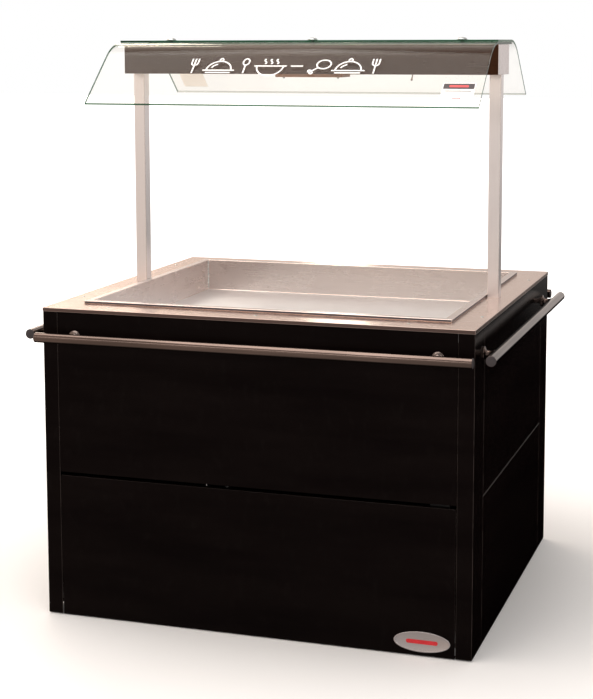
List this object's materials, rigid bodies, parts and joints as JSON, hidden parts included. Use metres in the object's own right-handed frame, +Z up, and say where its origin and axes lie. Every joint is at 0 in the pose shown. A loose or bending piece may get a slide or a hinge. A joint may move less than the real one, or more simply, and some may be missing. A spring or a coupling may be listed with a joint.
{
  "type": "hot food display case",
  "caption": "Free-standing black self-service island with a heated stainless well, a lamp hood on two posts, bent glass guards and tray rails.",
  "frame": {"origin": "on the floor, under the middle of the cabinet", "axes": "+Z up, -Y the front with the access door, +X to the right of someone who stands in front"},
  "size_m": [1.287, 1.187, 1.5682],
  "materials": {
    "black_panel": "semi-gloss black enamel",
    "worktop_stainless": "brushed, warm reflections",
    "well_stainless": "brushed",
    "post_stainless": "satin",
    "hood_stainless": "brushed along its length, reflects a dark room",
    "rail_stainless": "satin, drawn along the tube",
    "polished_metal": "polished",
    "galvanised": "galvanised sheet",
    "clear_glass": "clear, green at its edges",
    "black_plastic": "matte",
    "rocker_plastic": "gloss",
    "mineral_wool": "matte fibre",
    "heating_mat": "silicone rubber",
    "lamp_quartz": "clear quartz, lit orange",
    "amber_lens": "translucent amber",
    "badge_metal": "satin"
  },
  "bodies": {
    "cabinet": {"corner_post_front_left": "black_panel", "corner_post_front_right": "black_panel", "corner_post_rear_left": "black_panel", "corner_post_rear_right": "black_panel", "upper_panel_front": "black_panel", "tray_rail_front": "rail_stainless", "rail_standoff_front_a": "rail_stainless", "rail_standoff_front_b": "rail_stainless", "upper_panel_right": "black_panel", "lower_panel_right": "black_panel", "tray_rail_right": "rail_stainless", "rail_standoff_right_a": "rail_stainless", "rail_standoff_right_b": "rail_stainless", "upper_panel_rear": "black_panel", "lower_panel_rear": "black_panel", "tray_rail_rear": "rail_stainless", "rail_standoff_rear_a": "rail_stainless", "rail_standoff_rear_b": "rail_stainless", "upper_panel_left": "black_panel", "lower_panel_left": "black_panel", "tray_rail_left": "rail_stainless", "rail_standoff_left_a": "rail_stainless", "rail_standoff_left_b": "rail_stainless", "base_tray": "galvanised", "top_frame": "galvanised", "hinge_bracket_bottom": "black_panel", "hinge_bracket_top": "black_panel", "door_catch": "black_plastic", "worktop": "worktop_stainless", "well_pan": "well_stainless", "well_heater": "heating_mat", "insulation_jacket": "mineral_wool", "hood_post_left": "post_stainless", "hood_post_right": "post_stainless", "hood_beam": "hood_stainless", "lamp_reflector": "polished_metal", "lamp_tube_left": "lamp_quartz", "lamp_tube_right": "lamp_quartz", "terminal_cover": "hood_stainless", "lamp_switch_body": "black_plastic", "glass_front": "clear_glass", "glass_rear": "clear_glass", "glass_screw_left": "polished_metal", "glass_screw_middle": "polished_metal", "glass_screw_right": "polished_metal", "control_plate": "worktop_stainless", "control_box": "galvanised", "thermostat_body": "galvanised", "switch_block": "black_plastic", "pilot_lamp": "amber_lens", "cable_gland": "black_plastic"},
    "door": {"access_door": "black_panel", "badge_plate": "badge_metal"},
    "knob": {"thermostat_knob": "black_plastic"},
    "rocker": {"mains_rocker": "rocker_plastic"},
    "toggle": {"lamp_toggle": "polished_metal"},
    "foot_front_left": {"foot_front_left": "black_plastic"},
    "foot_front_right": {"foot_front_right": "black_plastic"},
    "foot_rear_left": {"foot_rear_left": "black_plastic"},
    "foot_rear_right": {"foot_rear_right": "black_plastic"}
  },
  "joints": [
    {"name": "door_hinge", "type": "hinge", "parent": "cabinet", "child": "door", "pos_m": [-0.5195, -0.53, 0.2], "axis": [0, 0, -1], "range_deg": [0, 90]},
    {"name": "thermostat_turn", "type": "hinge", "parent": "cabinet", "child": "knob", "pos_m": [-0.442, 0.5443, 0.64], "axis": [0, -1, 0], "range_deg": [0, 270]},
    {"name": "mains_rock", "type": "hinge", "parent": "cabinet", "child": "rocker", "pos_m": [-0.36, 0.5423, 0.64], "axis": [-1, 0, 0], "range_deg": [0, 14]},
    {"name": "lamp_toggle_tilt", "type": "hinge", "parent": "cabinet", "child": "toggle", "pos_m": [0.309, -0.057, 1.477], "axis": [0, -1, 0], "range_deg": [0, 24]},
    {"name": "foot_screw_front_left", "type": "slide", "parent": "cabinet", "child": "foot_front_left", "axis": [0, 0, -1], "range_m": [0, 0.02]},
    {"name": "foot_screw_front_right", "type": "slide", "parent": "cabinet", "child": "foot_front_right", "axis": [0, 0, -1], "range_m": [0, 0.02]},
    {"name": "foot_screw_rear_left", "type": "slide", "parent": "cabinet", "child": "foot_rear_left", "axis": [0, 0, -1], "range_m": [0, 0.02]},
    {"name": "foot_screw_rear_right", "type": "slide", "parent": "cabinet", "child": "foot_rear_right", "axis": [0, 0, -1], "range_m": [0, 0.02]}
  ]
}
